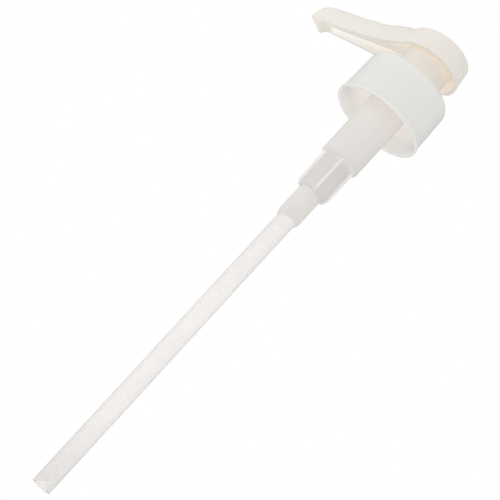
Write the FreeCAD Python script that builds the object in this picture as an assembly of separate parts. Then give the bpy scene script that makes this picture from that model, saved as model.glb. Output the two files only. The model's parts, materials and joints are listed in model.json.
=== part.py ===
import FreeCAD, Part
import math
import os

# Piston dispensing pump for a jug with a 38 mm threaded neck. Millimetres throughout.
# The origin is on the pump axis, in the plane where the jug's rim meets the gasket.
# +Z runs up the pump axis to the pump head, and +X runs along the spout.
# Everything is drawn at the bottom of the stroke, with the return spring squeezed.

# Container interface: 38 mm continuous thread, six turns to the inch
THREAD_PITCH = 25.4 / 6.0
THREAD_ROOT_R = 19.0
THREAD_CREST_R = 17.8
THREAD_TURNS = 1.5
THREAD_ROOT_WIDTH = 2.3
THREAD_CREST_WIDTH = 0.9
THREAD_START_Z = -10.0
THREAD_START_AZIMUTH = 300.0

# Screw closure
CLOSURE_BOTTOM_Z = -17.6
CLOSURE_TOP_Z = 6.2
CLOSURE_ROOF_Z = 4.15
CLOSURE_TOP_R = 20.7
CLOSURE_WALL_R = 21.2
CLOSURE_LIP_R = 21.8
CLOSURE_LIP_HEIGHT = 1.2
CLOSURE_LIP_TAPER = 0.9
CLOSURE_LIP_FOOT_ROUND = 0.35
CLOSURE_LIP_TOP_ROUND = 0.45
CLOSURE_MOUTH_R = 20.4
CLOSURE_MOUTH_DEPTH = 2.2
CLOSURE_SHOULDER_R = 3.0
CLOSURE_HOLE_R = 11.7

# Gasket under the housing flange
GASKET_R = 17.3
GASKET_BORE_R = 9.5
GASKET_THICKNESS = 1.0

# Pump housing: flanged cylinder, step, valve chamber with fins, socket for the dip tube
FLANGE_TOP_Z = 2.3
FLANGE_R = 17.3
CYLINDER_R = 9.45
CYLINDER_BORE_R = 8.1
CYLINDER_BOTTOM_Z = -43.9
CYLINDER_FLOOR_Z = -42.3
CYLINDER_CORNER_R = 1.3
CHAMBER_R = 6.65
CHAMBER_BORE_R = 5.35
CHAMBER_BOTTOM_Z = -62.8
CHAMBER_BEVEL = 0.6
INLET_SEAT_TOP_Z = -59.1
INLET_HOLE_R = 1.9
SOCKET_R = 5.55
SOCKET_BORE_TOP_Z = -63.6
SOCKET_BOTTOM_Z = -78.6
SOCKET_BEVEL = 1.6
FIN_COUNT = 4
FIN_AZIMUTH = 34.0
FIN_THICKNESS = 1.3
FIN_TOP_R = 8.3
FIN_FOOT_R = 8.1
FIN_BEVEL = 2.7
FIN_OVERLAP = 0.6
VENT_COUNT = 2
VENT_R = 0.6
VENT_Z = -10.5

# Dip tube
TUBE_R = 4.35
TUBE_BORE_R = 3.15
TUBE_BOTTOM_Z = -231.0
TUBE_NOTCH_AZIMUTH = 124.0
TUBE_NOTCH_DEPTH = 2.9
TUBE_NOTCH_HALF_WIDTH = 3.6

# Lock collar (chaplet): fixed guide for the stem, held between the housing flange and closure
COLLAR_PLUG_BOTTOM_Z = -6.0
COLLAR_FLANGE_R = 14.5
COLLAR_FLANGE_TOP_Z = 4.1
COLLAR_NECK_R = 11.62
COLLAR_BEAD_R = 12.5
COLLAR_BEAD_BOTTOM_Z = 6.25
COLLAR_BEAD_TOP_Z = 7.4
COLLAR_BOSS_R = 8.0
COLLAR_BOSS_TOP_Z = 13.0
COLLAR_BORE_R = 4.06
COLLAR_LUG_R = 9.1
COLLAR_LUG_BOTTOM_Z = 11.4
LOCK_LUG_COUNT = 2
LOCK_LUG_SPAN = 60.0

# Wiper ring around the stem, in the foot of the lock collar
WIPER_R = 6.4
WIPER_BORE_R = 4.05
WIPER_HEIGHT = 2.4

# Stem and the valve seat pressed into its foot
STEM_R = 4.0
STEM_BORE_R = 2.5
STEM_TOP_Z = 20.5
STEM_BOTTOM_Z = -40.6
STEM_SHOULDER_R = 5.0
STEM_SHOULDER_HEIGHT = 1.2
BALL_STOP_Z = -31.2
BALL_STOP_HEIGHT = 1.5
BALL_STOP_COUNT = 3
BALL_STOP_R = 1.2
BALL_STOP_THICKNESS = 0.8
SEAT_FLANGE_R = 5.6
SEAT_FLANGE_HEIGHT = 0.95
SEAT_TOP_Z = -35.0
SEAT_HOLE_R = 1.1
SEAT_CONE_DEPTH = 1.0
SEAT_SPIGOT_R = 2.9
SEAT_SPIGOT_HEIGHT = 2.4

# Piston seal
PISTON_TOP_Z = -33.0
PISTON_END_GAP = 0.05
PISTON_LIP_R = 8.04
PISTON_HUB_R = 5.5
PISTON_BORE_R = 4.06
PISTON_LIP_THICKNESS = 0.9

# Check valve balls
INLET_BALL_R = 3.0
OUTLET_BALL_R = 1.8
BALL_SEAT_GAP = 0.012

# Ball cage that holds the inlet ball down and carries the spring
CAGE_TOP_Z = -54.1
CAGE_BAR_HEIGHT = 1.0
CAGE_BAR_WIDTH = 1.1
CAGE_BORE_R = 4.0

# Return spring
SPRING_WIRE_R = 0.45
SPRING_MEAN_R = 4.2
SPRING_TURNS = 6.5
SPRING_STEPS_PER_TURN = 16

# Pump head
HEAD_WALL = 1.5
HEAD_RIM_Z = 17.1
HEAD_RIM_R = 15.8
HEAD_SIDE_R = 15.3
HEAD_SIDE_TOP_Z = 26.6
HEAD_TOP_Z = 30.35
HEAD_TILT = 4.0
SKIRT_R = 11.5
SKIRT_BORE_R = 9.45
SKIRT_BOTTOM_Z = 8.2
SKIRT_LUG_R = 8.3
SKIRT_LUG_BOTTOM_Z = 9.4
SKIRT_LUG_TOP_Z = 10.9
STEM_SOCKET_R = 5.8
STEM_SOCKET_BOTTOM_Z = 13.6
SPOUT_REACH = 57.6
SPOUT_RIM_SLOPE = 0.076
SPOUT_RIM_START_X = 6.0
SPOUT_HOLLOW_END_X = 53.6
NOZZLE_R = 4.7
NOZZLE_BORE_R = 2.8
NOZZLE_TILT = 28.0
NOZZLE_LENGTH = 7.4
NOZZLE_ELBOW_Z = 19.1
NOZZLE_LIP_HEIGHT = 1.4
NOZZLE_LIP_ROUND = 0.8
PASSAGE_R = 3.0
PASSAGE_BORE_R = 1.9
PASSAGE_START_Z = 23.2
PASSAGE_END_Z = 18.0
PASSAGE_RIB_THICKNESS = 1.4

# Spout sections: distance from the axis, half width, height of the crown, roundness of the lower corners.
# The crown stays level with the dome, dips past its edge, then falls evenly to the tip.
SPOUT_SECTIONS = (
    (0.0, 12.4, 29.9, 0.0),
    (6.0, 12.2, 30.6, 0.0),
    (12.0, 11.4, 31.0, 0.0),
    (18.0, 9.4, 30.7, 0.0),
    (24.0, 7.6, 29.0, 0.0),
    (30.0, 6.4, 27.4, 0.0),
    (36.0, 5.7, 26.45, 0.06),
    (42.0, 5.2, 25.7, 0.14),
    (48.5, 4.78, 25.0, 0.26),
    (55.0, 4.55, 24.2, 0.4),
)
SPOUT_LOFT_DEGREE = 3
# The tip turns down from the last section: foot, crown, half width and roundness of the section between
# that one and the round nozzle.
TIP_FOOT = (56.3, 12.9)
TIP_CROWN = (61.7, 21.9)
TIP_HALF_WIDTH = 4.6
TIP_ROUNDNESS = 0.5
SPOUT_SEAM_R = 5.0

X_AXIS = FreeCAD.Vector(1, 0, 0)
Y_AXIS = FreeCAD.Vector(0, 1, 0)
Z_AXIS = FreeCAD.Vector(0, 0, 1)
ORIGIN = FreeCAD.Vector(0, 0, 0)


def lathe(points):
    """A solid turned about the pump axis from a closed outline of (radius, height) points."""
    corners = [FreeCAD.Vector(r, 0, z) for r, z in points]
    face = Part.Face(Part.makePolygon(corners + corners[:1]))
    return face.revolve(ORIGIN, Z_AXIS, 360)


def cylinder(radius, low, high):
    """A cylinder on the pump axis between two heights."""
    return Part.makeCylinder(radius, high - low, FreeCAD.Vector(0, 0, low))


def ring(outer, inner, low, high):
    """A plain tube between two heights."""
    return cylinder(outer, low, high).cut(cylinder(inner, low, high))


def sector(outer, inner, low, high, span, azimuth):
    """A piece of a ring, span degrees wide, centred on azimuth."""
    corners = [FreeCAD.Vector(r, 0, z) for r, z in
               ((inner, low), (outer, low), (outer, high), (inner, high))]
    face = Part.Face(Part.makePolygon(corners + corners[:1]))
    piece = face.revolve(ORIGIN, Z_AXIS, span)
    piece.rotate(ORIGIN, Z_AXIS, azimuth - span / 2.0)
    return piece


def turned(shape, azimuth):
    """A copy of the shape turned about the pump axis."""
    copy = shape.copy()
    copy.rotate(ORIGIN, Z_AXIS, azimuth)
    return copy


def edges_at(shape, radius, height):
    """Circular edges about the pump axis with this radius and height."""
    found = []
    for edge in shape.Edges:
        curve = edge.Curve
        if not isinstance(curve, Part.Circle):
            continue
        if abs(curve.Radius - radius) < 1e-3 and abs(curve.Center.z - height) < 1e-3:
            found.append(edge)
    return found


def helical_ridge(root_r, crest_r, low, turns, pitch):
    """A trapezoid thread ridge on the inside of a bore, with its ends cut square."""
    buried = 0.5
    helix = Part.makeHelix(pitch, pitch * turns, root_r)
    half_root = THREAD_ROOT_WIDTH / 2.0
    half_crest = THREAD_CREST_WIDTH / 2.0
    corners = [
        FreeCAD.Vector(root_r + buried, 0, -half_root),
        FreeCAD.Vector(root_r, 0, -half_root),
        FreeCAD.Vector(crest_r, 0, -half_crest),
        FreeCAD.Vector(crest_r, 0, half_crest),
        FreeCAD.Vector(root_r, 0, half_root),
        FreeCAD.Vector(root_r + buried, 0, half_root),
    ]
    profile = Part.makePolygon(corners + corners[:1])
    ridge = Part.Wire(helix.Edges).makePipeShell([profile], True, True)
    ridge.translate(FreeCAD.Vector(0, 0, low))
    return ridge


def closure():
    """Screw cap: drafted wall, flared lip, rounded shoulder, internal thread."""
    lip_top = CLOSURE_BOTTOM_Z + CLOSURE_LIP_HEIGHT
    body = lathe((
        (CLOSURE_HOLE_R, CLOSURE_ROOF_Z),
        (THREAD_ROOT_R, CLOSURE_ROOF_Z),
        (THREAD_ROOT_R, CLOSURE_BOTTOM_Z + CLOSURE_MOUTH_DEPTH),
        (CLOSURE_MOUTH_R, CLOSURE_BOTTOM_Z),
        (CLOSURE_LIP_R, CLOSURE_BOTTOM_Z),
        (CLOSURE_LIP_R, lip_top),
        (CLOSURE_WALL_R, lip_top + CLOSURE_LIP_TAPER),
        (CLOSURE_TOP_R, CLOSURE_TOP_Z),
        (CLOSURE_HOLE_R, CLOSURE_TOP_Z),
    ))
    body = body.makeFillet(CLOSURE_SHOULDER_R, edges_at(body, CLOSURE_TOP_R, CLOSURE_TOP_Z))
    body = body.makeFillet(CLOSURE_LIP_FOOT_ROUND, edges_at(body, CLOSURE_LIP_R, CLOSURE_BOTTOM_Z))
    body = body.makeFillet(CLOSURE_LIP_TOP_ROUND, edges_at(body, CLOSURE_LIP_R, lip_top))
    ridge = helical_ridge(THREAD_ROOT_R, THREAD_CREST_R, THREAD_START_Z, THREAD_TURNS, THREAD_PITCH)
    return body.fuse(turned(ridge, THREAD_START_AZIMUTH))


def gasket():
    """Flat ring squeezed between the jug's rim and the housing flange."""
    return ring(GASKET_R, GASKET_BORE_R, 0.0, GASKET_THICKNESS)


def housing_body():
    """Turned body of the housing, from flange to tube socket."""
    seat_drop = CHAMBER_BORE_R - INLET_HOLE_R
    body = lathe((
        (CYLINDER_BORE_R, FLANGE_TOP_Z),
        (CYLINDER_BORE_R, CYLINDER_FLOOR_Z),
        (CHAMBER_BORE_R, CYLINDER_FLOOR_Z),
        (CHAMBER_BORE_R, INLET_SEAT_TOP_Z),
        (INLET_HOLE_R, INLET_SEAT_TOP_Z - seat_drop),
        (INLET_HOLE_R, SOCKET_BORE_TOP_Z),
        (TUBE_R, SOCKET_BORE_TOP_Z),
        (TUBE_R, SOCKET_BOTTOM_Z),
        (SOCKET_R - 0.5, SOCKET_BOTTOM_Z),
        (SOCKET_R, SOCKET_BOTTOM_Z + SOCKET_BEVEL),
        (SOCKET_R, CHAMBER_BOTTOM_Z),
        (CHAMBER_R, CHAMBER_BOTTOM_Z + CHAMBER_BEVEL),
        (CHAMBER_R, CYLINDER_BOTTOM_Z),
        (CYLINDER_R, CYLINDER_BOTTOM_Z),
        (CYLINDER_R, GASKET_THICKNESS),
        (FLANGE_R, GASKET_THICKNESS),
        (FLANGE_R, FLANGE_TOP_Z),
    ))
    return body.makeFillet(CYLINDER_CORNER_R, edges_at(body, CYLINDER_R, CYLINDER_BOTTOM_Z))


def housing_fin():
    """One axial fin beside the valve chamber, standing along +X."""
    root = CHAMBER_BORE_R + 0.1
    top = CYLINDER_BOTTOM_Z + FIN_OVERLAP
    foot = CHAMBER_BOTTOM_Z - 0.4
    outline = [
        FreeCAD.Vector(root, 0, top),
        FreeCAD.Vector(FIN_TOP_R, 0, top),
        FreeCAD.Vector(FIN_FOOT_R, 0, CHAMBER_BOTTOM_Z + FIN_BEVEL),
        FreeCAD.Vector(FIN_FOOT_R - FIN_BEVEL / 2.0, 0, foot),
        FreeCAD.Vector(root, 0, foot),
    ]
    fin = Part.Face(Part.makePolygon(outline + outline[:1]))
    fin = fin.extrude(FreeCAD.Vector(0, FIN_THICKNESS, 0))
    fin.translate(FreeCAD.Vector(0, -FIN_THICKNESS / 2.0, 0))
    return fin


def housing():
    """Pump housing with fins round the valve chamber and vents under the flange."""
    body = housing_body()
    fin = housing_fin()
    fins = [turned(fin, FIN_AZIMUTH + i * 360.0 / FIN_COUNT) for i in range(FIN_COUNT)]
    body = body.fuse(fins)
    vent = Part.makeCylinder(VENT_R, 3.0, FreeCAD.Vector(CYLINDER_BORE_R - 1.0, 0, VENT_Z), X_AXIS)
    vents = [turned(vent, FIN_AZIMUTH + i * 360.0 / VENT_COUNT) for i in range(VENT_COUNT)]
    return body.cut(vents)


def dip_tube():
    """Straight tube, cut square with a V through one wall so that it can't seal on the jug's floor."""
    tube = ring(TUBE_R, TUBE_BORE_R, TUBE_BOTTOM_Z, SOCKET_BORE_TOP_Z)
    below = TUBE_BOTTOM_Z - 1.0
    spread = TUBE_NOTCH_HALF_WIDTH * (1.0 + 1.0 / TUBE_NOTCH_DEPTH)
    notch = [
        FreeCAD.Vector(0, -spread, below),
        FreeCAD.Vector(0, spread, below),
        FreeCAD.Vector(0, 0, TUBE_BOTTOM_Z + TUBE_NOTCH_DEPTH),
    ]
    wedge = Part.Face(Part.makePolygon(notch + notch[:1])).extrude(FreeCAD.Vector(TUBE_R + 1.0, 0, 0))
    return tube.cut(turned(wedge, TUBE_NOTCH_AZIMUTH))


def lock_collar():
    """Fixed stem guide with the two outer lugs that the head's skirt locks under."""
    wiper_top = COLLAR_PLUG_BOTTOM_Z + WIPER_HEIGHT
    body = lathe((
        (COLLAR_BORE_R, COLLAR_BOSS_TOP_Z),
        (COLLAR_BORE_R, wiper_top),
        (WIPER_R, wiper_top),
        (WIPER_R, COLLAR_PLUG_BOTTOM_Z),
        (CYLINDER_BORE_R - 0.6, COLLAR_PLUG_BOTTOM_Z),
        (CYLINDER_BORE_R, COLLAR_PLUG_BOTTOM_Z + 1.0),
        (CYLINDER_BORE_R, FLANGE_TOP_Z),
        (COLLAR_FLANGE_R, FLANGE_TOP_Z),
        (COLLAR_FLANGE_R, COLLAR_FLANGE_TOP_Z),
        (COLLAR_NECK_R, COLLAR_FLANGE_TOP_Z),
        (COLLAR_NECK_R, COLLAR_BEAD_BOTTOM_Z),
        (COLLAR_BEAD_R, COLLAR_BEAD_BOTTOM_Z),
        (COLLAR_NECK_R, COLLAR_BEAD_TOP_Z),
        (COLLAR_BOSS_R, COLLAR_BEAD_TOP_Z),
        (COLLAR_BOSS_R, COLLAR_BOSS_TOP_Z),
    ))
    lugs = []
    for i in range(LOCK_LUG_COUNT):
        azimuth = 90.0 + i * 360.0 / LOCK_LUG_COUNT
        lugs.append(sector(COLLAR_LUG_R, COLLAR_BOSS_R - 0.5, COLLAR_LUG_BOTTOM_Z,
                           COLLAR_BOSS_TOP_Z, LOCK_LUG_SPAN, azimuth))
    return body.fuse(lugs)


def stem_wiper():
    """Elastomer ring that wipes the stem."""
    top = COLLAR_PLUG_BOTTOM_Z + WIPER_HEIGHT
    return lathe((
        (WIPER_R, COLLAR_PLUG_BOTTOM_Z),
        (WIPER_R, top),
        (WIPER_BORE_R + 0.5, top),
        (WIPER_BORE_R, top - 0.5),
        (WIPER_BORE_R, top - 1.0),
        (WIPER_BORE_R + 0.5, top - 1.4),
        (WIPER_BORE_R + 0.5, COLLAR_PLUG_BOTTOM_Z + 0.6),
        (WIPER_BORE_R + 1.0, COLLAR_PLUG_BOTTOM_Z),
    ))


def stem():
    """Hollow stem from the head to the piston, with a shoulder above the piston."""
    shoulder_low = PISTON_TOP_Z + PISTON_END_GAP
    shoulder_high = shoulder_low + STEM_SHOULDER_HEIGHT
    body = lathe((
        (STEM_BORE_R, STEM_BOTTOM_Z),
        (STEM_R, STEM_BOTTOM_Z),
        (STEM_R, shoulder_low),
        (STEM_SHOULDER_R, shoulder_low),
        (STEM_SHOULDER_R, shoulder_high - 0.5),
        (STEM_R, shoulder_high + 0.5),
        (STEM_R, STEM_TOP_Z - 0.6),
        (STEM_R - 0.4, STEM_TOP_Z),
        (STEM_BORE_R, STEM_TOP_Z),
    ))
    ribs = []
    for i in range(BALL_STOP_COUNT):
        rib = Part.makeBox(STEM_BORE_R - BALL_STOP_R + 0.5, BALL_STOP_THICKNESS, BALL_STOP_HEIGHT,
                           FreeCAD.Vector(BALL_STOP_R, -BALL_STOP_THICKNESS / 2.0, BALL_STOP_Z))
        ribs.append(turned(rib, i * 360.0 / BALL_STOP_COUNT))
    return body.fuse(ribs)


def valve_seat():
    """Insert pressed into the foot of the stem: outlet seat, piston retainer and spring seat."""
    flange_top = STEM_BOTTOM_Z
    flange_low = flange_top - SEAT_FLANGE_HEIGHT
    return lathe((
        (SEAT_HOLE_R, flange_low - SEAT_SPIGOT_HEIGHT),
        (SEAT_SPIGOT_R, flange_low - SEAT_SPIGOT_HEIGHT),
        (SEAT_SPIGOT_R, flange_low),
        (SEAT_FLANGE_R, flange_low),
        (SEAT_FLANGE_R, flange_top),
        (STEM_BORE_R, flange_top),
        (STEM_BORE_R, SEAT_TOP_Z),
        (SEAT_HOLE_R + SEAT_CONE_DEPTH, SEAT_TOP_Z),
        (SEAT_HOLE_R, SEAT_TOP_Z - SEAT_CONE_DEPTH),
    ))


def piston():
    """Double-lipped piston seal, free to turn on the stem."""
    low = STEM_BOTTOM_Z + PISTON_END_GAP
    web_top = PISTON_TOP_Z - 2.6
    web_low = low + 2.4
    lip_inner = PISTON_LIP_R - PISTON_LIP_THICKNESS
    return lathe((
        (PISTON_BORE_R, low),
        (PISTON_HUB_R, low),
        (PISTON_HUB_R, web_low),
        (lip_inner - 0.5, web_low),
        (lip_inner, low + 0.4),
        (PISTON_LIP_R, low + 0.2),
        (PISTON_LIP_R, low + 1.1),
        (PISTON_LIP_R - 0.5, web_low),
        (PISTON_LIP_R - 0.5, web_top),
        (PISTON_LIP_R, PISTON_TOP_Z - 1.1),
        (PISTON_LIP_R, PISTON_TOP_Z - 0.2),
        (lip_inner, PISTON_TOP_Z - 0.4),
        (lip_inner - 0.5, web_top),
        (PISTON_HUB_R, web_top),
        (PISTON_HUB_R, PISTON_TOP_Z),
        (PISTON_BORE_R, PISTON_TOP_Z),
    ))


def seated_ball(radius, hole_r, hole_top_z):
    """A ball resting on a 45 degree conical seat above a round hole."""
    apex_z = hole_top_z - hole_r
    centre_z = apex_z + radius * math.sqrt(2.0) + BALL_SEAT_GAP
    return Part.makeSphere(radius, FreeCAD.Vector(0, 0, centre_z))


def inlet_ball():
    """Ball of the inlet check valve."""
    seat_foot_z = INLET_SEAT_TOP_Z - (CHAMBER_BORE_R - INLET_HOLE_R)
    return seated_ball(INLET_BALL_R, INLET_HOLE_R, seat_foot_z)


def outlet_ball():
    """Ball of the outlet check valve, inside the stem."""
    return seated_ball(OUTLET_BALL_R, SEAT_HOLE_R, SEAT_TOP_Z - SEAT_CONE_DEPTH)


def ball_cage():
    """Ring with two crossed bars that keeps the inlet ball down and carries the spring."""
    body = ring(CHAMBER_BORE_R, CAGE_BORE_R, INLET_SEAT_TOP_Z, CAGE_TOP_Z)
    reach = CAGE_BORE_R + 0.6
    bar = Part.makeBox(2 * reach, CAGE_BAR_WIDTH, CAGE_BAR_HEIGHT,
                       FreeCAD.Vector(-reach, -CAGE_BAR_WIDTH / 2.0, CAGE_TOP_Z - CAGE_BAR_HEIGHT))
    return body.fuse([bar, turned(bar, 90.0)])


def return_spring():
    """Open helical compression spring between the ball cage and the valve seat's flange."""
    low = CAGE_TOP_Z + SPRING_WIRE_R
    high = STEM_BOTTOM_Z - SEAT_FLANGE_HEIGHT - SPRING_WIRE_R
    steps = int(SPRING_TURNS * SPRING_STEPS_PER_TURN)
    points = []
    for i in range(steps + 1):
        angle = 2.0 * math.pi * SPRING_TURNS * i / steps
        height = low + (high - low) * i / steps
        points.append(FreeCAD.Vector(SPRING_MEAN_R * math.cos(angle), SPRING_MEAN_R * math.sin(angle), height))
    coil = Part.BSplineCurve()
    coil.interpolate(points)
    wire = Part.Wire(Part.makeCircle(SPRING_WIRE_R, points[0], Y_AXIS))
    return Part.Wire(coil.toShape()).makePipeShell([wire], True, True)


def rim_z(x):
    """Height of the head's open lower rim at a distance along the spout."""
    return HEAD_RIM_Z - SPOUT_RIM_SLOPE * max(0.0, x - SPOUT_RIM_START_X)


def spout_section(foot, crown, half_width, roundness):
    """Upside-down U on the line from foot to crown, across the spout.

    Roundness 0 gives a flat floor with square corners, and 1 gives a full circle.
    """
    up = (crown - foot).normalize()
    shoulder = (crown - foot).Length - half_width
    corner_angle = math.radians(50.0)
    corner_high = roundness * half_width * (1.0 - math.sin(corner_angle))
    corner_wide = half_width * (1.0 - roundness * (1.0 - math.cos(corner_angle)))
    side_wide = half_width * (1.0 - roundness * (1.0 - math.cos(corner_angle / 2.0)))
    side_high = shoulder / 2.0 - roundness * (shoulder / 2.0 - half_width * (1.0 - math.sin(corner_angle / 2.0)))

    def spot(wide, high):
        return foot + Y_AXIS * wide + up * high

    left = [spot(-corner_wide, corner_high), spot(-side_wide, side_high), spot(-half_width, shoulder)]
    right = [spot(half_width, shoulder), spot(side_wide, side_high), spot(corner_wide, corner_high)]
    arch = Part.Arc(left[2], crown, right[0]).toShape()
    if roundness == 0.0:
        return Part.Wire([Part.makeLine(left[0], left[2]), arch, Part.makeLine(right[0], right[2]),
                          Part.makeLine(right[2], left[0])])
    return Part.Wire([Part.Arc(*left).toShape(), arch, Part.Arc(*right).toShape(),
                      Part.Arc(right[2], foot, left[0]).toShape()])


def upright_sections(inset, floor_drop):
    """The spout's upright sections from the pump axis to where its tip turns down."""
    sections = []
    for x, half_width, crown_z, roundness in SPOUT_SECTIONS:
        foot = FreeCAD.Vector(x, 0, rim_z(x) - floor_drop)
        crown = FreeCAD.Vector(x, 0, crown_z - inset)
        if inset > 0.0:
            roundness = 0.0
        sections.append(spout_section(foot, crown, half_width - inset, roundness))
    return sections


def spout_body(inset, floor_drop):
    """The upright part of the spout as a tapering loft; inset makes the smaller one that hollows it."""
    return Part.makeLoft(upright_sections(inset, floor_drop), True, False, False, SPOUT_LOFT_DEGREE)


def spout_tip():
    """The end of the spout, turned down from its last upright section into the round nozzle."""
    foot = FreeCAD.Vector(TIP_FOOT[0], 0, TIP_FOOT[1])
    crown = FreeCAD.Vector(TIP_CROWN[0], 0, TIP_CROWN[1])
    turn = spout_section(foot, crown, TIP_HALF_WIDTH, TIP_ROUNDNESS)
    mouth = nozzle_end(NOZZLE_LENGTH - NOZZLE_LIP_HEIGHT)
    across = nozzle_axis().cross(Y_AXIS) * NOZZLE_R
    end = spout_section(mouth - across, mouth + across, NOZZLE_R, 1.0)
    tip = Part.makeLoft([upright_sections(0.0, 0.0)[-1], turn, end], True, False)
    lip = Part.makeCylinder(NOZZLE_R, NOZZLE_LIP_HEIGHT, mouth, nozzle_axis())
    mouth_edge = [edge for edge in lip.Edges if edge.CenterOfMass.z < mouth.z - NOZZLE_LIP_HEIGHT / 2.0]
    return tip.fuse(lip.makeFillet(NOZZLE_LIP_ROUND, mouth_edge[:1]))


def dome_body(inset, floor_drop):
    """The round of the head: drafted side under an elliptical crown, leaning towards the spout."""
    side_r = HEAD_SIDE_R - inset
    crown_height = HEAD_TOP_Z - HEAD_SIDE_TOP_Z - inset
    low = HEAD_RIM_Z - floor_drop - 3.0
    ellipse = Part.Ellipse(FreeCAD.Vector(side_r, 0, HEAD_SIDE_TOP_Z),
                           FreeCAD.Vector(0, 0, HEAD_SIDE_TOP_Z + crown_height),
                           FreeCAD.Vector(0, 0, HEAD_SIDE_TOP_Z))
    crown = ellipse.toShape(0.0, math.pi / 2.0)
    side_top = FreeCAD.Vector(side_r, 0, HEAD_SIDE_TOP_Z)
    side_foot = FreeCAD.Vector(HEAD_RIM_R + 0.3 - inset, 0, low)
    axis_foot = FreeCAD.Vector(0, 0, low)
    axis_top = FreeCAD.Vector(0, 0, HEAD_SIDE_TOP_Z + crown_height)
    outline = Part.Wire([
        crown,
        Part.makeLine(axis_top, axis_foot),
        Part.makeLine(axis_foot, side_foot),
        Part.makeLine(side_foot, side_top),
    ])
    dome = Part.Face(outline).revolve(ORIGIN, Z_AXIS, 360)
    dome.rotate(FreeCAD.Vector(0, 0, HEAD_SIDE_TOP_Z), Y_AXIS, HEAD_TILT)
    floor = Part.makeBox(60, 60, 30, FreeCAD.Vector(-30, -30, HEAD_RIM_Z - floor_drop - 30))
    return dome.cut(floor)


def nozzle_axis():
    """Direction of the outlet: down and forward."""
    tilt = math.radians(NOZZLE_TILT)
    return FreeCAD.Vector(math.sin(tilt), 0, -math.cos(tilt))


def nozzle_end(distance):
    """Point on the nozzle's axis at a distance from the elbow."""
    return FreeCAD.Vector(SPOUT_REACH, 0, NOZZLE_ELBOW_Z) + nozzle_axis() * distance


def outlet_bore():
    """Ball and inclined cylinder that carry the passage round to the outlet."""
    tube = Part.makeCylinder(NOZZLE_BORE_R, NOZZLE_LENGTH + 1.0, nozzle_end(0.0), nozzle_axis())
    return tube.fuse(Part.makeSphere(NOZZLE_BORE_R, nozzle_end(0.0)))


def passage(radius, start_x):
    """Cylinder along the sloping flow passage from the stem to the nozzle."""
    fall = (PASSAGE_END_Z - PASSAGE_START_Z) / SPOUT_REACH
    start = FreeCAD.Vector(start_x, 0, PASSAGE_START_Z + fall * start_x)
    end = FreeCAD.Vector(SPOUT_REACH, 0, PASSAGE_END_Z)
    return Part.makeCylinder(radius, (end - start).Length, start, end - start)


def head_core():
    """Skirt, stem socket, passage tube and its rib, inside the hollow of the head."""
    skirt = ring(SKIRT_R, SKIRT_BORE_R, SKIRT_BOTTOM_Z, HEAD_TOP_Z)
    socket = cylinder(STEM_SOCKET_R, STEM_SOCKET_BOTTOM_Z, HEAD_TOP_Z)
    rib = Part.makeBox(SPOUT_REACH, PASSAGE_RIB_THICKNESS, 20.0,
                       FreeCAD.Vector(0, -PASSAGE_RIB_THICKNESS / 2.0, PASSAGE_END_Z))
    slope = Part.makeBox(80, 10, 20, FreeCAD.Vector(0, -5, -20))
    slope.rotate(ORIGIN, Y_AXIS, math.degrees(math.atan2(PASSAGE_START_Z - PASSAGE_END_Z, SPOUT_REACH)))
    slope.translate(FreeCAD.Vector(-1, 0, PASSAGE_START_Z))
    return [skirt, socket, passage(PASSAGE_R, 0.0), rib.cut(slope)]


def head_outside():
    """Outside of the dome and spout, blended where they meet."""
    body = dome_body(0.0, 0.0).fuse(spout_body(0.0, 0.0)).Solids[0]
    seam = []
    for edge in body.Edges:
        box = edge.BoundBox
        beside_dome = box.XMin > 3.0 and box.XMax < HEAD_SIDE_R and edge.Length > 1.0
        if beside_dome and box.ZMax > HEAD_RIM_Z + 1.0:
            seam.append(edge)
    return body.makeFillet(SPOUT_SEAM_R, seam).fuse(spout_tip())


def pump_head():
    """Moulded head: hollow dome and spout, lock skirt, stem socket, flow passage and nozzle."""
    outer = head_outside()
    inner = dome_body(HEAD_WALL, 1.0).fuse(spout_body(HEAD_WALL, 1.0))
    solid_tip = Part.makeBox(20, 20, 40, FreeCAD.Vector(SPOUT_HOLLOW_END_X, -10, 0))
    shell = outer.cut(inner.cut(solid_tip))
    skirt_drop = HEAD_RIM_Z - SKIRT_BOTTOM_Z + 1.0
    middle = dome_body(HEAD_WALL / 2.0, skirt_drop).fuse(spout_body(HEAD_WALL / 2.0, 0.0))
    core = [piece.common(middle) for piece in head_core()]
    body = shell.fuse(core)
    lugs = []
    for i in range(LOCK_LUG_COUNT):
        azimuth = i * 360.0 / LOCK_LUG_COUNT
        lugs.append(sector(SKIRT_BORE_R + 0.4, SKIRT_LUG_R, SKIRT_LUG_BOTTOM_Z,
                           SKIRT_LUG_TOP_Z, LOCK_LUG_SPAN, azimuth))
    body = body.fuse(lugs)
    bores = [
        cylinder(STEM_R, STEM_SOCKET_BOTTOM_Z - 1.0, STEM_TOP_Z),
        cylinder(STEM_BORE_R, STEM_TOP_Z - 0.5, PASSAGE_START_Z),
        Part.makeSphere(STEM_BORE_R, FreeCAD.Vector(0, 0, PASSAGE_START_Z)),
        passage(PASSAGE_BORE_R, 0.0),
        outlet_bore(),
    ]
    return body.cut(bores)


PIECES = (
    ("pump_head", pump_head),
    ("closure", closure),
    ("lock_collar", lock_collar),
    ("stem_wiper", stem_wiper),
    ("gasket", gasket),
    ("housing", housing),
    ("dip_tube", dip_tube),
    ("stem", stem),
    ("valve_seat", valve_seat),
    ("piston", piston),
    ("return_spring", return_spring),
    ("ball_cage", ball_cage),
    ("inlet_ball", inlet_ball),
    ("outlet_ball", outlet_ball),
)

os.makedirs("parts", exist_ok=True)
for name, make in PIECES:
    shape = make()
    if shape.ShapeType == "Compound" and len(shape.Solids) == 1:
        shape = shape.Solids[0]
    print(name, len(shape.Solids), shape.isValid(), round(shape.Volume, 1))
    shape.exportStep("parts/" + name + ".step")
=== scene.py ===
import json
import math

import bpy
from mathutils import Matrix, Vector


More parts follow.
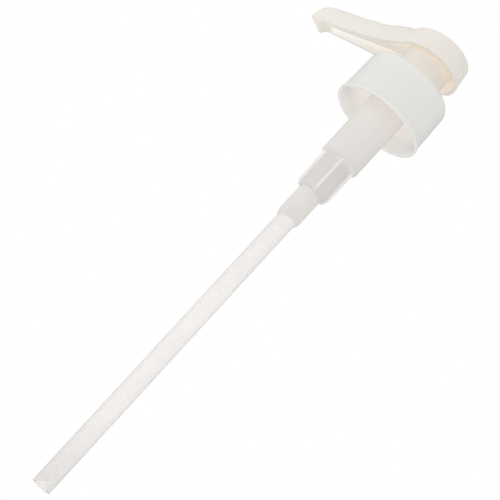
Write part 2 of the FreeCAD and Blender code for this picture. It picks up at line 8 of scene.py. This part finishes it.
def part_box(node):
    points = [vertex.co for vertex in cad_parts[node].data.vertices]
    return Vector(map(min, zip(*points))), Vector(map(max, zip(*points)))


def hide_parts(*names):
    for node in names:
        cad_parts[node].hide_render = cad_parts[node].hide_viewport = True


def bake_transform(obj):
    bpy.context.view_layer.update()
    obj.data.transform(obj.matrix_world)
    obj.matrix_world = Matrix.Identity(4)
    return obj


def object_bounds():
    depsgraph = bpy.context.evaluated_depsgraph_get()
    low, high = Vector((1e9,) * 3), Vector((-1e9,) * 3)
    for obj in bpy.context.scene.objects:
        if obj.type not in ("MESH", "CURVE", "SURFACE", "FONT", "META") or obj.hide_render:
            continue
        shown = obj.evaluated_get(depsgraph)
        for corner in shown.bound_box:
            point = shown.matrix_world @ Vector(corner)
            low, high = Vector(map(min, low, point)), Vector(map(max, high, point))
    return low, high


# A condiment pump: ivory head, natural translucent closure, housing and dip tube.
# Lengths are metres in the CAD frame: Z up the pump axis, X along the spout.

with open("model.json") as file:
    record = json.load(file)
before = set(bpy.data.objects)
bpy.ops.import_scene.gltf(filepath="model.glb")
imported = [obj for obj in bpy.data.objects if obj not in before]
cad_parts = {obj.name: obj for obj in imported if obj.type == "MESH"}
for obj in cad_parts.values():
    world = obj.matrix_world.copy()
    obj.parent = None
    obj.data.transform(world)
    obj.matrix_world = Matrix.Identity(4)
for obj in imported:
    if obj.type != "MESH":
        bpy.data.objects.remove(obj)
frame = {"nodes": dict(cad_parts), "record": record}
cad_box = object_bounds()

MM = 0.001
FULL_TURN = 2.0 * math.pi
AXIS = Vector((0, 0, 1))
WHITE = (1.0, 1.0, 1.0, 1.0)

# Where the camera stands: turn about the axis, climb, roll, distance, side step and aim height
CAMERA_AZIMUTH = math.radians(34.0)
CAMERA_CLIMB = math.radians(17.5)
CAMERA_ROLL = math.radians(47.36)
CAMERA_DISTANCE = 0.710
CAMERA_SIDE_STEP = 2.62 * MM
CAMERA_AIM_Z = -0.0997
CAMERA_NEAREST = 0.01
CAMERA_FARTHEST = 50.0
# The lens and the sensor are in Blender's own millimetres
CAMERA_LENS = 121.7
CAMERA_SENSOR = 36.0
# Level and square to the camera's line of sight, before the roll
ACROSS = Vector((-math.cos(CAMERA_AZIMUTH), -math.sin(CAMERA_AZIMUTH), 0.0))

KEY_DISTANCE = 1.1
KEY_DIAMETER = 0.9
KEY_POWER = 0.8
KEY_AIM_Z = CAMERA_AIM_Z + 0.04

FLOOR_RADIUS = 1.0
FLOOR_RINGS = 24
FLOOR_SPOKES = 96
FLOOR_GAP = 1.5 * MM
FLOOR_FADE_FROM = 0.1
FLOOR_FADE_TO = 0.9

SPRING_TURNS = 6.5
WIRE_RADIUS = 0.45 * MM
RINGS_PER_TURN = 48
WIRE_SIDES = 16

# Noise and cell scales, per metre
MOTTLE_SCALE = 60.0
FLOW_SCALE = 220.0
GRAIN_SCALE = 5200.0
STEEL_LINE_SCALE = 900.0
STEEL_PATCH_SCALE = 300.0
FOAM_CELL_SCALE = 2600.0
FOAM_MOTTLE_SCALE = 150.0
FLOOR_MOTTLE_SCALE = 9.0

# Shared by every moulded plastic. The share of light that soaks in and comes back, how far, and by colour
SCATTER = 0.3
SCATTER_DEPTH = 2.0 * MM
SCATTER_COLOUR = (1.0, 0.9, 0.8)
PLASTIC_IOR = 1.49
# Mirror reflection face on, and the strength of the outline at which it has faded to none
GLOSS = 0.3
GLOSS_END = 0.6
# The mottling's part in the tone, the rest being flow streaks, and how far the two move the tone
MOTTLE_SHARE = 0.55
TONE_SPREAD = (0.98, 1.015)
# Roughness below and above a plastic's own, and the relief of the grain and of the flow
ROUGHNESS_SPREAD = (-0.05, 0.09)
GRAIN_RELIEF = 0.006
FLOW_RELIEF = 0.02
# Openness runs from 0, shut in, to 1, in the open. The span in which the painted light and shade of a recess,
# of a sharp corner or of a recess near the axis shows
RECESS_SPAN = (0.1, 0.85)
CORNER_SPAN = (0.25, 0.75)
CORE_SPAN = (0.05, 0.6)
CORNER_REACH = 1.2 * MM

# Heights and a radius on the pump where a plastic's tone changes, much of it painted light and shade, and
# where its clearness changes
CLOSURE_FOOT_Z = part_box("closure")[0].z
TUBE_FOOT_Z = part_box("dip_tube")[0].z
TUBE_FOOT_SHADE = 41.0 * MM
TUBE_TOP_SHADE = (-120.0 * MM, -80.0 * MM)
CHAMBER_FOOT_Z = -62.9 * MM
CHAMBER_TOP_Z = -44.0 * MM
CHAMBER_WALL_RADIUS = 6.7 * MM
BARREL_LIGHTENS = (-32.0 * MM, -14.0 * MM)


class Graph:
    """Short way to fill a node tree."""

    def __init__(self, tree):
        self.tree = tree
        tree.nodes.clear()

    def add(self, kind, inputs=None, **settings):
        """A node with its settings, and each input either linked or given a value."""
        node = self.tree.nodes.new(kind)
        for key, value in settings.items():
            setattr(node, key, value)
        for key, value in (inputs or {}).items():
            if isinstance(value, bpy.types.NodeSocket):
                self.tree.links.new(value, node.inputs[key])
            else:
                node.inputs[key].default_value = value
        return node

    def math(self, operation, a, b):
        return self.add("ShaderNodeMath", {0: a, 1: b}, operation=operation).outputs[0]

    def plus(self, a, b):
        return self.math("ADD", a, b)

    def minus(self, a, b):
        return self.math("SUBTRACT", a, b)

    def times(self, a, b):
        return self.math("MULTIPLY", a, b)

    def dot(self, a, b):
        return self.add("ShaderNodeVectorMath", {0: a, 1: b}, operation="DOT_PRODUCT").outputs["Value"]

    def length(self, vector):
        return self.add("ShaderNodeVectorMath", {0: vector}, operation="LENGTH").outputs["Value"]

    def remap(self, value, low, high, to_low, to_high):
        """The value's place between low and high, carried to between to_low and to_high and held there."""
        inputs = {"Value": value, "From Min": low, "From Max": high, "To Min": to_low, "To Max": to_high}
        return self.add("ShaderNodeMapRange", inputs).outputs[0]

    def mix(self, factor, a, b):
        inputs = {0: factor, 6: a, 7: b}
        return self.add("ShaderNodeMix", inputs, data_type="RGBA").outputs[2]

    def place(self):
        """The point being coloured, in its object's own frame: for a CAD node, the CAD frame at rest."""
        return self.add("ShaderNodeTexCoord").outputs["Object"]

    def height(self, place):
        return self.add("ShaderNodeSeparateXYZ", {0: place}).outputs[2]

    def noise(self, vector, scale, detail=2.0, roughness=0.5):
        inputs = {"Vector": vector, "Scale": scale, "Detail": detail, "Roughness": roughness}
        return self.add("ShaderNodeTexNoise", inputs).outputs["Fac"]

    def stretched(self, vector, scale):
        """The vector with each axis scaled, so that a noise on it runs in streaks."""
        return self.add("ShaderNodeMapping", {"Vector": vector, "Scale": scale}).outputs[0]

    def openness(self, reach):
        """1 in the open, falling to 0 where other surfaces crowd within reach."""
        return self.add("ShaderNodeAmbientOcclusion", {"Distance": reach}, samples=6).outputs["AO"]


def rgba(colour, share=1.0):
    """The colour, darkened to a share of itself, with its alpha."""
    return (*[share * c for c in colour], 1.0)


def new_material(name):
    material = bpy.data.materials.new(name)
    material.use_nodes = True
    return material, Graph(material.node_tree)


def new_object(name, data):
    item = bpy.data.objects.new(name, data)
    bpy.context.scene.collection.objects.link(item)
    return item


def inside(g, place, radius):
    """1 closer to the pump axis than radius, falling to 0 over the next millimetre."""
    parts = g.add("ShaderNodeSeparateXYZ", {0: place}).outputs
    flat = g.add("ShaderNodeCombineXYZ", {0: parts[0], 1: parts[1]}).outputs[0]
    return g.remap(g.length(flat), radius, radius + MM, 1.0, 0.0)


def band(g, value, low, high, soft):
    """1 between low and high, falling to 0 over soft on either side."""
    rise = g.remap(value, low - soft, low + soft, 0.0, 1.0)
    fall = g.remap(value, high - soft, high + soft, 1.0, 0.0)
    return g.times(rise, fall)


def plastic_colour(g, place, level, openness, sheltered, base, recess_shading, core_shading):
    """base in the open, painted light and shade in a recess, and a painted shade colour in a recess near the
    axis, all times the level.
    """
    # Painted light and shade: a recess takes its own colour, lighter or darker than the plastic's, and a
    # recess near the axis a painted shade colour.
    colour = g.mix(sheltered, rgba(base), rgba(recess_shading))
    if core_shading is not None:
        radius, core_shade_colour = core_shading
        near_axis = inside(g, place, radius * MM)
        colour = g.mix(g.times(near_axis, g.remap(openness, *CORE_SPAN, 1.0, 0.0)), colour, rgba(core_shade_colour))
    grey = g.add("ShaderNodeCombineColor", {0: level, 1: level, 2: level}).outputs[0]
    inputs = {0: 1.0, 6: colour, 7: grey}
    return g.add("ShaderNodeMix", inputs, data_type="RGBA", blend_type="MULTIPLY").outputs[2]


def plastic_normal(g, flow, grain, edge):
    """Edges rounded off by edge, in millimetres, under the relief of the flow and the grain."""
    softened = g.add("ShaderNodeBevel", {"Radius": edge * MM}, samples=4).outputs[0]
    height = g.plus(g.times(grain, GRAIN_RELIEF), g.times(flow, FLOW_RELIEF))
    inputs = {"Strength": 0.35, "Distance": MM, "Height": height, "Normal": softened}
    return g.add("ShaderNodeBump", inputs).outputs[0]


def moulded(name, base, recess_shading, roughness, streak=(1, 1, 1), edge=0.25, recess=7.0, glow=0.3, outline_shade=0.85,
            fall=4.0, passing=0.25, core_shading=None, corner_shade=1.0, tone=None):
    """Moulded plastic: slow mottling, flow streaks, fine grain, softened edges, painted light and shade in
    recesses.

    base is the colour in the open. In a recess the plastic takes another colour, painted light and shade:
    lighter for some plastics, where it stands in for light that comes through the walls, darker for others,
    where it stands in for shade.
    recess is how far away a wall still shelters a point, in millimetres. glow is an emission in recesses,
    painted light that stands in for the light that fills a recess through its walls, and passing the share of
    light that soaks through the plastic. The tone at the outline is a painted shade along it, fall how
    closely it keeps to the outline, and the tone in a sharp inside corner is a painted shade too. A radius
    about the pump axis, in millimetres, may be given with the painted shade colour of recesses inside it.
    tone(g, place) gives a multiplier, painted light for some plastics, and how clear the plastic is, both by
    position.
    """
    material, g = new_material(name)
    place = g.place()
    mottle = g.noise(place, MOTTLE_SCALE, 3.0)
    flow = g.noise(g.stretched(place, streak), FLOW_SCALE, 3.0, 0.6)
    grain = g.noise(place, GRAIN_SCALE, 2.0, 0.7)
    facing = g.add("ShaderNodeLayerWeight", {"Blend": 0.5}).outputs["Facing"]
    outline = g.math("POWER", facing, fall)
    openness = g.openness(recess * MM)
    sheltered = g.remap(openness, *RECESS_SPAN, 1.0, 0.0)

    shade = g.plus(g.times(mottle, MOTTLE_SHARE), g.times(flow, 1.0 - MOTTLE_SHARE))
    level = g.remap(shade, 0.3, 0.7, *TONE_SPREAD)
    clearness = 0.0
    if tone is not None:
        local, clearness = tone(g, place)
        level = g.times(level, local)
    # Painted shade: darker along the outline and in sharp inside corners.
    level = g.times(level, g.remap(outline, 0.0, 1.0, 1.0, outline_shade))
    level = g.times(level, g.remap(g.openness(CORNER_REACH), *CORNER_SPAN, corner_shade, 1.0))

    colour = plastic_colour(g, place, level, openness, sheltered, base, recess_shading, core_shading)
    smoothest, roughest = (roughness + change for change in ROUGHNESS_SPREAD)
    inputs = {
        "Base Color": colour,
        "Roughness": g.remap(g.plus(flow, g.times(grain, 0.35)), 0.35, 1.0, smoothest, roughest),
        "Normal": plastic_normal(g, flow, grain, edge),
        "IOR": PLASTIC_IOR,
        "Specular IOR Level": g.remap(outline, 0.0, GLOSS_END, GLOSS, 0.0),
        "Subsurface Weight": SCATTER,
        "Subsurface Radius": SCATTER_COLOUR,
        "Subsurface Scale": SCATTER_DEPTH,
        # Painted light: recesses glow a little, standing in for light that comes in through the walls.
        "Emission Color": colour,
        "Emission Strength": g.times(sheltered, glow),
        "Alpha": g.minus(1.0, g.times(clearness, g.minus(1.0, outline))),
    }
    shader = g.add("ShaderNodeBsdfPrincipled", inputs).outputs[0]
    through = g.add("ShaderNodeBsdfTranslucent", {"Color": colour}).outputs[0]
    mixed = g.add("ShaderNodeMixShader", {0: passing, 1: shader, 2: through}).outputs[0]
    g.add("ShaderNodeOutputMaterial", {"Surface": mixed})
    return material


def steel(name, base, streak):
    """Bright steel with fine drawing or lapping lines and a few dull patches."""
    material, g = new_material(name)
    place = g.place()
    lines = g.noise(g.stretched(place, streak), STEEL_LINE_SCALE, 3.0, 0.6)
    patches = g.noise(place, STEEL_PATCH_SCALE, 2.0)
    colour = g.mix(g.remap(patches, 0.35, 0.7, 0.0, 1.0), rgba(base), rgba(base, 0.82))
    rough = g.remap(g.plus(lines, patches), 0.6, 1.4, 0.14, 0.34)
    relief = {"Strength": 0.2, "Distance": 0.02 * MM, "Height": lines}
    normal = g.add("ShaderNodeBump", relief).outputs[0]
    inputs = {"Base Color": colour, "Metallic": 1.0, "Roughness": rough, "Normal": normal}
    shader = g.add("ShaderNodeBsdfPrincipled", inputs).outputs[0]
    g.add("ShaderNodeOutputMaterial", {"Surface": shader})
    return material


def foam(name, base):
    """Closed-cell foam liner: small cells, matt."""
    material, g = new_material(name)
    place = g.place()
    cells = g.add("ShaderNodeTexVoronoi", {"Vector": place, "Scale": FOAM_CELL_SCALE}).outputs["Distance"]
    mottle = g.noise(place, FOAM_MOTTLE_SCALE, 3.0)
    colour = g.mix(g.remap(g.plus(cells, mottle), 0.5, 1.2, 0.0, 1.0), rgba(base), rgba(base, 0.9))
    relief = {"Strength": 0.4, "Distance": 0.05 * MM, "Height": cells}
    normal = g.add("ShaderNodeBump", relief).outputs[0]
    inputs = {"Base Color": colour, "Roughness": 0.75, "Normal": normal, "Subsurface Weight": 0.2,
              "Subsurface Scale": MM}
    shader = g.add("ShaderNodeBsdfPrincipled", inputs).outputs[0]
    g.add("ShaderNodeOutputMaterial", {"Surface": shader})
    return material


def housing_tone(g, place):
    """Thin clear walls round the valve chamber, a little darker; fins lighter with painted light; and a milky
    barrel, lighter upwards with painted light as if lit from inside the closure.
    """
    height = g.height(place)
    chamber = band(g, height, CHAMBER_FOOT_Z, CHAMBER_TOP_Z, 0.3 * MM)
    wall = g.times(chamber, inside(g, place, CHAMBER_WALL_RADIUS))
    fins = g.minus(chamber, wall)
    # Painted light: the fins lighter, and the barrel lighter towards its top.
    barrel = g.remap(height, *BARREL_LIGHTENS, 1.0, 1.05)
    level = g.minus(g.plus(barrel, g.times(fins, 0.12)), g.times(wall, 0.035))
    return level, g.plus(0.03, g.times(wall, 0.1))


def closure_tone(g, place):
    """More light comes through the thin edge of the mouth than through the rest of the wall."""
    lip = (CLOSURE_FOOT_Z + 0.1 * MM, CLOSURE_FOOT_Z + 0.9 * MM)
    return g.remap(g.height(place), *lip, 1.08, 1.0), 0.03


def tube_tone(g, place):
    """The tube is greyer by its socket and towards its lower end, and light gathers along one side of it."""
    height = g.height(place)
    foot = g.remap(height, TUBE_FOOT_Z, TUBE_FOOT_Z + TUBE_FOOT_SHADE, 0.945, 1.0)
    top = g.remap(height, *TUBE_TOP_SHADE, 1.0, 0.97)
    normal = g.add("ShaderNodeTexCoord").outputs["Normal"]
    gathered = g.remap(g.dot(normal, ACROSS), -1.0, 1.0, 0.965, 1.04)
    return g.times(g.times(foot, top), gathered), 0.12


# Each plastic's recess colour, glow, outline and corner tones and colour near the axis are painted light and
# shade.
MATERIALS = {
    "head_plastic": moulded(
        "ivory_moulding", base=(0.855, 0.828, 0.78), recess_shading=(0.935, 0.922, 0.90), roughness=0.34,
        streak=(0.3, 1, 1), edge=0.3, recess=9.0, glow=0.19, outline_shade=0.78, passing=0.1,
        core_shading=(12.2, (0.81, 0.705, 0.565))),
    "closure_plastic": moulded(
        "closure_natural", base=(0.803, 0.808, 0.788), recess_shading=(0.885, 0.868, 0.86), roughness=0.42,
        streak=(1, 1, 0.25), edge=0.3, recess=14.0, glow=0.32, outline_shade=0.7, passing=0.2, tone=closure_tone),
    "body_plastic": moulded(
        "housing_natural", base=(0.795, 0.786, 0.77), recess_shading=(0.87, 0.845, 0.83), roughness=0.3,
        streak=(1, 1, 0.2), edge=0.2, recess=10.0, outline_shade=0.76, passing=0.2, corner_shade=0.88, tone=housing_tone),
    "tube_plastic": moulded(
        "tube_natural", base=(0.92, 0.915, 0.90), recess_shading=(0.90, 0.88, 0.87), roughness=0.26,
        streak=(1, 1, 0.03), edge=0.1, outline_shade=0.6, fall=3.0, passing=0.2, tone=tube_tone),
    "stem_plastic": moulded(
        "stem_white", base=(0.80, 0.79, 0.76), recess_shading=(0.76, 0.71, 0.65), roughness=0.3,
        streak=(1, 1, 0.15), edge=0.15),
    "seal_plastic": moulded(
        "seal_soft", base=(0.82, 0.82, 0.82), recess_shading=(0.72, 0.72, 0.72), roughness=0.5, edge=0.15),
    "gasket_foam": foam("gasket_foam_liner", base=(0.80, 0.75, 0.72)),
    "spring_steel": steel("drawn_wire", base=(0.66, 0.66, 0.665), streak=(1, 1, 0.2)),
    "ball_steel": steel("lapped_ball", base=(0.72, 0.72, 0.71), streak=(1, 1, 1)),
}


def dress_cad():
    """Smooth shading and the right material on every CAD node."""
    for subpart in frame["record"]["subparts"]:
        node = frame["nodes"][subpart["node"]]
        node.data.materials.clear()
        node.data.materials.append(MATERIALS[subpart["material_slot"]])
        node.data.shade_smooth()


def wire_faces(rings):
    """Quads between neighbouring rings of a wire's points and a cap on each end, all facing outwards."""
    last = (rings - 1) * WIRE_SIDES
    faces = [tuple(range(WIRE_SIDES)), tuple(range(last + WIRE_SIDES - 1, last - 1, -1))]
    for ring in range(rings - 1):
        start = ring * WIRE_SIDES
        for side in range(WIRE_SIDES):
            here, after = start + side, start + (side + 1) % WIRE_SIDES
            faces.append((here, here + WIRE_SIDES, after + WIRE_SIDES, after))
    return faces


def coil_spring():
    """A coil in place of the solid one, from the cage to the valve seat."""
    lo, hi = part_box("return_spring")
    coil_radius = (hi.x - lo.x) / 2.0 - WIRE_RADIUS
    low, high = lo.z + WIRE_RADIUS, hi.z - WIRE_RADIUS
    steps = int(SPRING_TURNS * RINGS_PER_TURN)
    rise = (high - low) / (FULL_TURN * SPRING_TURNS * coil_radius)
    centres, offsets = [], []
    for step in range(steps + 1):
        a = FULL_TURN * SPRING_TURNS * step / steps
        out = Vector((math.cos(a), math.sin(a), 0.0))
        normal = Vector((rise * math.sin(a), -rise * math.cos(a), 1.0)).normalized()
        centre = coil_radius * out + Vector((0, 0, low + (high - low) * step / steps))
        for side in range(WIRE_SIDES):
            b = FULL_TURN * side / WIRE_SIDES
            centres.append(centre)
            offsets.append(WIRE_RADIUS * (math.cos(b) * out + math.sin(b) * normal))
    mesh = bpy.data.meshes.new("stretching_spring")
    mesh.from_pydata(centres, [], wire_faces(steps + 1))
    spring = new_object("stretching_spring", mesh)
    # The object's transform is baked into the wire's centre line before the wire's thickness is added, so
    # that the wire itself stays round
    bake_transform(spring)
    for vertex, offset in zip(mesh.vertices, offsets):
        vertex.co += offset
    mesh.shade_smooth()
    mesh.materials.append(MATERIALS["spring_steel"])
    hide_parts("return_spring")


def camera_axes():
    """Right, up and forward of the camera, from its turn, climb and roll."""
    away = Vector((math.sin(CAMERA_AZIMUTH), -math.cos(CAMERA_AZIMUTH), 0.0))
    forward = math.sin(CAMERA_CLIMB) * AXIS + math.cos(CAMERA_CLIMB) * away
    along = math.cos(CAMERA_CLIMB) * AXIS - math.sin(CAMERA_CLIMB) * away
    c, s = math.cos(CAMERA_ROLL), math.sin(CAMERA_ROLL)
    right = s * ACROSS + c * along
    up = -c * ACROSS + s * along
    return right, up, forward


def make_camera():
    """A long lens that looks up at the pump from below, rolled so that the pump slants across the picture."""
    right, up, forward = camera_axes()
    data = bpy.data.cameras.new("camera")
    data.sensor_width = CAMERA_SENSOR
    data.lens = CAMERA_LENS
    data.clip_start = CAMERA_NEAREST
    data.clip_end = CAMERA_FARTHEST
    camera = new_object("camera", data)
    place = CAMERA_AIM_Z * AXIS - CAMERA_SIDE_STEP * ACROSS - CAMERA_DISTANCE * forward
    turn = Matrix((right, up, -forward)).transposed().to_4x4()
    camera.matrix_world = Matrix.Translation(place) @ turn
    bpy.context.scene.camera = camera


def make_world():
    """White behind the object, and a soft dome, darker on the camera's right and lighter from below."""
    right, up, forward = camera_axes()
    world = bpy.data.worlds.new("studio")
    world.use_nodes = True
    bpy.context.scene.world = world
    g = Graph(world.node_tree)
    direction = g.add("ShaderNodeTexCoord").outputs["Generated"]
    dark_side = (right * 0.85 - up * 0.35 + forward * 0.3).normalized()
    level = g.remap(g.dot(direction, dark_side), -0.4, 1.0, 0.93, 0.77)
    from_below = g.remap(g.height(direction), -1.0, 0.2, 1.24, 1.0)
    dome = g.add("ShaderNodeBackground", {"Color": WHITE, "Strength": g.times(level, from_below)}).outputs[0]
    backdrop = g.add("ShaderNodeBackground", {"Color": WHITE, "Strength": 1.0}).outputs[0]
    seen = g.add("ShaderNodeLightPath").outputs["Is Camera Ray"]
    both = g.add("ShaderNodeMixShader", {0: seen, 1: dome, 2: backdrop}).outputs[0]
    g.add("ShaderNodeOutputWorld", {"Surface": both})


def floor_mesh():
    """A flat disk of rings and spokes that faces up."""
    verts = [(0.0, 0.0, 0.0)]
    for ring in range(1, FLOOR_RINGS + 1):
        r = FLOOR_RADIUS * ring / FLOOR_RINGS
        for spoke in range(FLOOR_SPOKES):
            a = FULL_TURN * spoke / FLOOR_SPOKES
            verts.append((r * math.cos(a), r * math.sin(a), 0.0))
    faces = []
    for spoke in range(FLOOR_SPOKES):
        after = (spoke + 1) % FLOOR_SPOKES
        faces.append((0, 1 + spoke, 1 + after))
        for ring in range(FLOOR_RINGS - 1):
            near, far = 1 + ring * FLOOR_SPOKES, 1 + (ring + 1) * FLOOR_SPOKES
            faces.append((near + spoke, far + spoke, far + after, near + after))
    mesh = bpy.data.meshes.new("floor")
    mesh.from_pydata(verts, [], faces)
    return mesh


def floor_paint():
    """Pale mottled paint that fades out away from the pump and can't be seen from below."""
    material, g = new_material("pale_floor")
    place = g.place()
    mottle = g.noise(place, FLOOR_MOTTLE_SCALE, 3.0)
    colour = g.mix(mottle, rgba((0.91, 0.91, 0.905)), rgba((0.94, 0.94, 0.935)))
    paint = g.add("ShaderNodeBsdfPrincipled", {"Base Color": colour, "Roughness": 0.6}).outputs[0]
    fade = g.remap(g.length(place), FLOOR_FADE_FROM, FLOOR_FADE_TO, 0.0, 1.0)
    hidden = g.math("MAXIMUM", fade, g.add("ShaderNodeNewGeometry").outputs["Backfacing"])
    gone = g.add("ShaderNodeBsdfTransparent").outputs[0]
    both = g.add("ShaderNodeMixShader", {0: hidden, 1: paint, 2: gone}).outputs[0]
    g.add("ShaderNodeOutputMaterial", {"Surface": both})
    return material


def make_floor():
    """The floor, a little below the tube's foot."""
    floor = new_object("floor", floor_mesh())
    floor.location = (0.0, 0.0, cad_box[0].z - FLOOR_GAP)
    floor.data.materials.append(floor_paint())


def make_key_light():
    """A large round lamp, up and to the left in the camera's view, that faces the upper half of the pump."""
    right, up, forward = camera_axes()
    data = bpy.data.lights.new("key", "AREA")
    data.shape = "DISK"
    data.size = KEY_DIAMETER
    data.energy = KEY_POWER
    lamp = new_object("key", data)
    direction = (-forward * 0.8 + up * 0.8 - right * 0.7).normalized()
    turn = direction.to_track_quat("Z", "Y").to_matrix().to_4x4()
    lamp.matrix_world = Matrix.Translation(KEY_AIM_Z * AXIS + KEY_DISTANCE * direction) @ turn
    lamp.visible_camera = False


dress_cad()
coil_spring()
make_camera()
make_world()
make_floor()
make_key_light()
bpy.context.scene.view_settings.view_transform = "Standard"
bpy.context.scene.cycles.diffuse_bounces = 8
